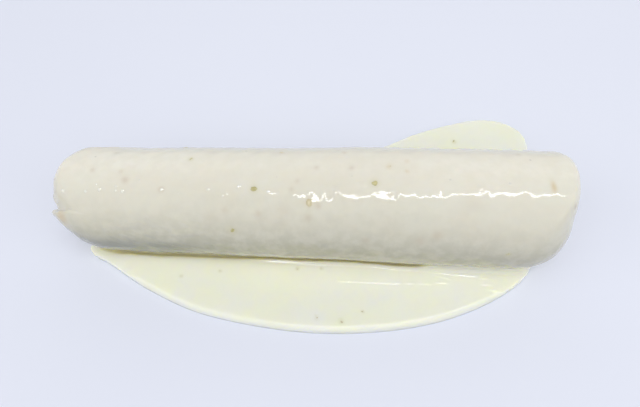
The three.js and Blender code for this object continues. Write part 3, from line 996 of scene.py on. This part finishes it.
def make_pool(trees):
    starts, ways = pool_columns()
    lower = ease(starts[:, 0], *LOWER_AT_LEFT) * (ways[:, 1] < 0)
    reach, crest, edge = pool_rows(starts, ways, lower, trees)
    columns, rows = reach.shape
    outer = reach[:, -1:]
    flat = starts[:, None] + ways[:, None] * reach[..., None]
    places = flat.reshape(-1, 2)
    over = np.array([ceiling_over(trees, x, y) for x, y in places]).reshape(columns, rows)
    past_crest = reach - crest
    leans = ease(places[:, 0], *LEANS_FROM) * ease(places[:, 0], *LEANS_TO) * (places[:, 1] < 0)
    leans = leans.reshape(columns, rows)
    surface = POOL_DEPTH + step_heights(places).reshape(columns, rows)
    surface = surface + bank_heights(past_crest, lower[:, None], leans, ease(outer - crest, 2, 12))
    inward = np.clip((outer - reach) / (outer - edge), 0, 1)
    surface = surface * np.sqrt(1 - (1 - inward) ** 2)
    limit = np.maximum(over - POOL_CLEAR, 0.05)
    top = np.maximum(held_under(surface, limit), 0.02)
    top[:, -1] = 0
    under = flat[:, [0, CREVICE_ROWS + BANK_ROWS // 2, rows - 1 - EDGE_ROWS]].reshape(-1, 2)
    points = np.concatenate([np.column_stack([places, top.ravel()]),
                             np.column_stack([under, np.zeros(len(under))])])
    pool = make_object("cheese_sauce_pool", points, pool_faces(columns, rows), pool_material())

    free = smooth(inward * 1.5) * ease(limit - surface, 0.2, 1.5)
    free[:, 0] = 0
    # painted shade in the crevice between the pool's rim and the coat, and on the leaning face
    shade = ease(-past_crest, 0.1, 1.2) * ease(reach, 0, 1) * (1 - leans)
    shade = shade + LEAN_PAINTED_SHADE * ease(-past_crest, -0.2, 0.8) * leans
    # painted light near the roll
    near = np.exp(-np.maximum(past_crest, 0) / PAINTED_LIGHT_REACH)
    for name, values in (("free", free), ("crease", shade), ("near", near)):
        set_values(pool.data, name, np.concatenate([values.ravel(), np.zeros(len(under))]))
    return apply_tree(pool, RIPPLES, {
        "Swell Height": 0.0004, "Swell Size": 0.035, "Ripple Height": 0.00005, "Ripple Size": 0.01,
        "Seed": 8.0, "Material": pool.data.materials[0]})


# --- Chile chips ----------------------------------------------------------------------------------
# On the coat: place along in mm, angle round, size; on the pool: x, y and size
GREEN_ON_COAT = [(-55.8, 75, 0.75), (-22.7, 110.5, 1.1), (-32.6, 152, 0.9), (32.4, 102.7, 1.05),
                 (94, 166, 0.6), (-64, 38, 0.9), (24, 12, 1.0), (-90, 22, 0.7), (66, -6, 0.9)]
TAN_ON_COAT = [(3.1, 122, 1.2), (-12.5, 62, 0.6), (38.8, 85, 0.75), (46.9, 90, 0.5),
               (47.2, 78, 0.5), (44, 26, 0.9), (-12, 12, 1.0), (88, 33, 0.7)]
GREEN_ON_POOL = [(-64.8, -34.3, 0.5), (7.9, -27.1, 0.4), (29.4, -48.7, 0.4), (84, 62, 0.7),
                 (-40, 38, 0.7)]
TAN_ON_POOL = [(7, -52.8, 0.45), (19.2, -54.2, 0.6), (-4.6, -27.7, 0.5), (-44.8, -30.6, 0.45),
               (60, 55, 0.7)]
CHIP_SUNK = 0.24  # how far a chip's middle lies under the surface, mm
CHIP_FORM = {"Length": 0.0032, "Width": 0.0023, "Thickness": 0.0010, "Unevenness": 0.0010}
HALO_RADIUS = 1.9  # of the tint round a chip of size 1
HALO_AMOUNT = 0.42
# Small bubbles under the sauce's face: place along in mm, angle round, size
BUBBLES = [
    (-115.4, 117.5, 1.0), (-103.9, 117.3, 0.9), (-98.9, 109.5, 0.7), (-97, 115.3, 1.0),
    (-89.3, 111, 0.7), (-89, 115.8, 0.8), (-85.6, 116.3, 1.0), (-66.5, 113.6, 0.9),
    (-44.2, 112.4, 0.8), (-29.8, 108.7, 1.0), (-16, 113.2, 0.9), (-12.6, 98, 0.6),
    (-119.2, 129.5, 0.9), (-78, 104, 0.6), (-58, 117, 0.6), (-37, 118, 0.7), (22, 96, 0.6),
    (66, 98, 0.6), (92, 100, 0.7), (-105, 70, 0.7), (-30, 60, 0.7), (48, 50, 0.8), (104, 70, 0.7),
    (-70, 25, 0.8), (10, 5, 0.8), (75, 15, 0.8),
]
BUBBLE_FORM = {"Length": 0.0019, "Width": 0.0022, "Thickness": 0.00036, "Unevenness": 0.00001}
BUBBLE_SUNK = 0.08
BUBBLES_TURN_NEAR = 14  # bubbles this near the shoulder's face look the way that it does
BUBBLES_TURN_FROM = -112  # from this place along
SIDEWAYS = 0.0025  # and a little to the right, more so with each mm to the left

# Bits that lie wholly under the coat and only tint it: place along, angle round, radius, amount
SUNKEN_BITS = [
    (21.7, 87, 1.3, 0.4), (5.4, 87, 1.2, 0.35), (-20.3, 134, 1.7, 0.4), (2.8, 136, 1.8, 0.4),
    (7.3, 125, 1.4, 0.5), (29.1, 156, 2.0, 0.3), (53.9, 155, 2.2, 0.35), (61.1, 148.5, 2.4, 0.4),
    (120.6, 118, 1.3, 0.6), (-2.9, 102, 1.2, 0.3), (-5.4, 110.6, 1.3, 0.35), (-102.8, 92, 1.4, 0.4),
    (-88.4, 93, 1.2, 0.3), (-66.8, 113, 1.4, 0.5), (-85.3, 103.6, 1.8, 0.5), (-36, 132, 1.5, 0.3),
    (76, 118, 4.5, 0.16), (72, 128, 3.6, 0.14), (-9, 129, 3.2, 0.18), (-44, 142, 3.0, 0.12),
    (18, 64, 1.2, 0.4), (-40, 45, 1.5, 0.4), (70, 52, 1.4, 0.4), (-96, 60, 1.2, 0.3),
    (8, 30, 2.2, 0.3), (100, 60, 1.3, 0.35), (-70, 5, 1.8, 0.35), (50, -10, 1.6, 0.35),
]
# Tortilla that shows through thin sauce: x, y, z, radius along each axis, amount
TAN_STAINS = [
    ((-118, -19.6, 35.6), (3.0, 3.0, 3.6), 0.7), ((111, -5.5, 52.2), (1.2, 3.0, 2.4), 0.8),
]


def way_out(angle):
    turn = math.radians(angle)
    return Vector((0, math.cos(turn), math.sin(turn)))


def on_coat(tree, along, angle):
    """The place on the coat's face at an angle round the roll, and the way out of it."""
    out = way_out(angle)
    return tree.ray_cast((Vector((along, 0, BELLY_HEIGHT)) + out * 80) * MM, -out)[:2]


def on_pool(tree, x, y):
    return tree.ray_cast(Vector((x, y, 50)) * MM, Vector((0, 0, -1)))[:2]


def bubble_spot(along, angle):
    """The place of a bubble; near the shoulder it looks the way that the shoulder's face does."""
    spot, up = on_coat(coat_tree, along, angle)
    faces = shoulder_faces(along)
    if abs(angle - faces) < BUBBLES_TURN_NEAR and along > BUBBLES_TURN_FROM:
        up = way_out(faces)
        up.x = SIDEWAYS * max(0, FACES_FROM - along) * up.z
    return spot, up.normalized()


def place_chips(name, sizes, spots, seed, material, form, sunk, most_turn=2 * np.pi):
    """A chip at each given place, flush with the face of the sauce."""
    made = make_object(name, [spot / MM - up * sunk for spot, up in spots], [], material)
    draw = np.random.default_rng(seed)
    ups = np.array([up for _, up in spots], np.float32)
    made.data.attributes.new("up", "FLOAT_VECTOR", "POINT").data.foreach_set("vector", ups.ravel())
    set_values(made.data, "turn", draw.uniform(0, most_turn, len(spots)))
    set_values(made.data, "size", sizes)
    return apply_tree(made, CHIPS, {**form, "Seed": float(seed), "Material": material})


def tint_near(mesh, name, spots):
    """Marks the mesh around each spot, given as its centre and radius in mm and its amount."""
    points = points_of(mesh)
    mask = np.zeros(len(points))
    for centre, radius, amount in spots:
        off = (points - np.array(centre)) / np.array(radius)
        mask = np.maximum(mask, amount * np.exp(-((off**2).sum(1))))
    set_values(mesh, name, mask)


RIPPLES = ripple_tree()
CHIPS = chips_tree()

tortilla = make_tortilla()
coat = make_coat()
pool = make_pool([tree_of(tortilla), tree_of(coat)])
coat_tree, pool_tree = tree_of(coat), tree_of(pool)


def make_chips(name, coat_places, pool_places, seed, material):
    spots = [on_coat(coat_tree, along, angle) for along, angle, _ in coat_places]
    spots += [on_pool(pool_tree, x, y) for x, y, _ in pool_places]
    sizes = [place[2] for place in coat_places + pool_places]
    chips = place_chips(name, sizes, spots, seed, material, CHIP_FORM, CHIP_SUNK)
    halo = [(spot / MM, HALO_RADIUS * size, HALO_AMOUNT) for (spot, _), size in zip(spots, sizes)]
    return chips, halo[:len(coat_places)], halo[len(coat_places):]


green_chips, green_halos, green_pool_halos = make_chips(
    "green_chile_chips", GREEN_ON_COAT, GREEN_ON_POOL, 11,
    chip_material("green_chile", colour(202, 195, 150), colour(174, 167, 116)))
tan_chips, tan_halos, tan_pool_halos = make_chips(
    "toasted_chile_chips", TAN_ON_COAT, TAN_ON_POOL, 12,
    chip_material("toasted_chile", colour(216, 207, 178), colour(198, 188, 152)))
bubbles = place_chips("sauce_bubbles", [size for _, _, size in BUBBLES],
                      [bubble_spot(along, angle) for along, angle, _ in BUBBLES], 13,
                      bubble_material(), BUBBLE_FORM, BUBBLE_SUNK, most_turn=0.3)
tint_near(coat.data, "green", green_halos)
tint_near(coat.data, "tan", tan_halos + TAN_STAINS)
tint_near(coat.data, "sunken", [(on_coat(coat_tree, along, angle)[0] / MM, radius, amount)
                                for along, angle, radius, amount in SUNKEN_BITS])
tint_near(pool.data, "green", green_pool_halos + tan_pool_halos)

for piece, slot in ((tortilla, "tortilla"), (coat, "sauce"), (pool, "sauce"),
                    (bubbles, "sauce"), (green_chips, "sauce"), (tan_chips, "sauce")):
    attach(piece, BODY)
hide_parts("tortilla_roll")
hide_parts("sauce_coat")
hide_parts("sauce_pool")


# --- Floor, light and camera ----------------------------------------------------------------------
TABLE_HALF = 3000
TABLE_TOP = -0.3
CAMERA_AT = (20.86, -127.85, 223.48)
CAMERA_TURNS = (6.53, 57.12, 3.66)  # to the left, down, and about its own axis
CAMERA_LENS = 25.99


def make_floor():
    material, tree, shader = new_material("pale_table", {"Roughness": 0.55})
    tone = mix_colour(tree, use_group(tree, BLOTCHES, {"Size": 0.4, "Softness": 0.3}),
                      colour(226, 230, 245), colour(224, 228, 244))
    tree.links.new(tone, shader.inputs["Base Color"])
    sides = ((-1, -1), (1, -1), (1, 1), (-1, 1))
    corners = [(x * TABLE_HALF, y * TABLE_HALF, TABLE_TOP) for x, y in sides]
    floor = make_object("table_top", corners, [(0, 1, 2, 3)], material)


# Brightness of the light round the room, by its angle from the front over the top to the back
SKY = [(0, 0.05), (25, 0.6), (45, 1.3), (60, 1.5), (75, 1.45), (90, 1.08), (105, 0.36),
       (125, 0.31), (150, 0.82), (180, 1.13)]


def make_sky():
    """Soft light from high in front and low from behind, as bands along the roll."""
    world = bpy.data.worlds.new("soft_room")
    bpy.context.scene.world = world
    world.use_nodes = True
    tree = world.node_tree
    backdrop = tree.nodes["Background"]
    way = add_node(tree, "ShaderNodeTexCoord").outputs["Generated"]
    split = add_node(tree, "ShaderNodeSeparateXYZ", None, {0: way})
    forward = add_node(tree, "ShaderNodeMath", {"operation": "MULTIPLY"}, {0: split.outputs["Y"], 1: -1.0})
    angle = add_node(tree, "ShaderNodeMath", {"operation": "ARCTAN2"}, {
        0: split.outputs["Z"], 1: forward.outputs[0]})
    share = add_node(tree, "ShaderNodeMath", {"operation": "DIVIDE"}, {0: angle.outputs[0], 1: math.pi})
    bands = add_node(tree, "ShaderNodeValToRGB", None, {"Fac": share.outputs[0]})
    ramp = bands.color_ramp
    brightest = max(level for _, level in SKY)
    for i, (degrees, level) in enumerate(SKY):
        stop = ramp.elements[i] if i < 2 else ramp.elements.new(degrees / 180)
        stop.position = degrees / 180
        stop.color = [level / brightest] * 3 + [1]
    strength = add_node(tree, "ShaderNodeMath", {"operation": "MULTIPLY"}, {
        0: bands.outputs["Color"], 1: brightest})
    tree.links.new(strength.outputs[0], backdrop.inputs["Strength"])
    backdrop.inputs["Color"].default_value = (1.0, 1.0, 0.985, 1.0)


def make_lamp(name, place, turn, size, power, tint):
    lamp = bpy.data.lights.new(name, "AREA")
    lamp.shape = "RECTANGLE"
    lamp.size, lamp.size_y = size
    lamp.energy = power
    lamp.color = tint
    made = bpy.data.objects.new(name, lamp)
    made.location = place
    made.rotation_euler = (0, 0, math.radians(turn))
    bpy.context.scene.collection.objects.link(made)
    return made


def make_camera():
    """A wide lens close over the front of the roll, looking steeply down and held a little askew."""
    azimuth, pitch, roll = (math.radians(a) for a in CAMERA_TURNS)
    ahead = Vector((-math.sin(azimuth) * math.cos(pitch), math.cos(azimuth) * math.cos(pitch),
                    -math.sin(pitch)))
    right = Vector((math.cos(azimuth), math.sin(azimuth), 0))
    down = ahead.cross(right)
    level = math.cos(roll) * right + math.sin(roll) * down
    upward = math.sin(roll) * right - math.cos(roll) * down
    turned = Matrix((level, upward, -ahead)).transposed()
    camera = bpy.data.cameras.new("camera")
    camera.sensor_width = 36
    camera.lens = CAMERA_LENS
    camera.clip_start = 0.01
    made = bpy.data.objects.new("camera", camera)
    made.matrix_world = Matrix.Translation(Vector(CAMERA_AT) * MM) @ turned.to_4x4()
    bpy.context.scene.collection.objects.link(made)
    bpy.context.scene.camera = made


make_floor()
make_sky()
make_lamp("strip_lamp", place=(0.24, -0.268, 1.5), turn=22.8, size=(1.2, 0.05), power=4.0,
          tint=(1, 1, 0.98))
make_camera()
bpy.context.scene.view_settings.view_transform = "Standard"
